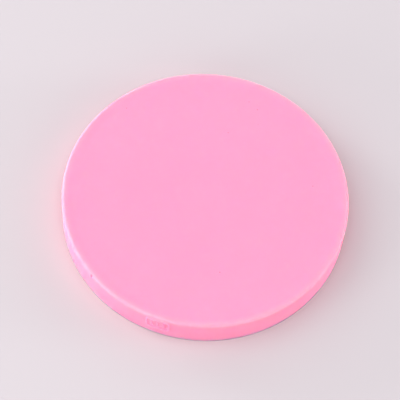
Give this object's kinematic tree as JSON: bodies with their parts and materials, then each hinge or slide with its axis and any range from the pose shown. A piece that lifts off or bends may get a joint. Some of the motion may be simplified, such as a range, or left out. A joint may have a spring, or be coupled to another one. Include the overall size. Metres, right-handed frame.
{
  "type": "resin casting mould",
  "caption": "Round flexible silicone mould whose casting face holds a flower medallion cavity; its back is flat.",
  "frame": {"origin": "centre of the casting face, which is the base that the mould rests on", "axes": "+Z along the mould's axis from the casting face to the flat back; +X and +Y lie in the casting face, with +X through the middle of an outer petal"},
  "size_m": [0.084, 0.084, 0.01],
  "materials": {
    "silicone": "matte, poured"
  },
  "bodies": {
    "root": {"mould_body": "silicone"}
  },
  "joints": []
}
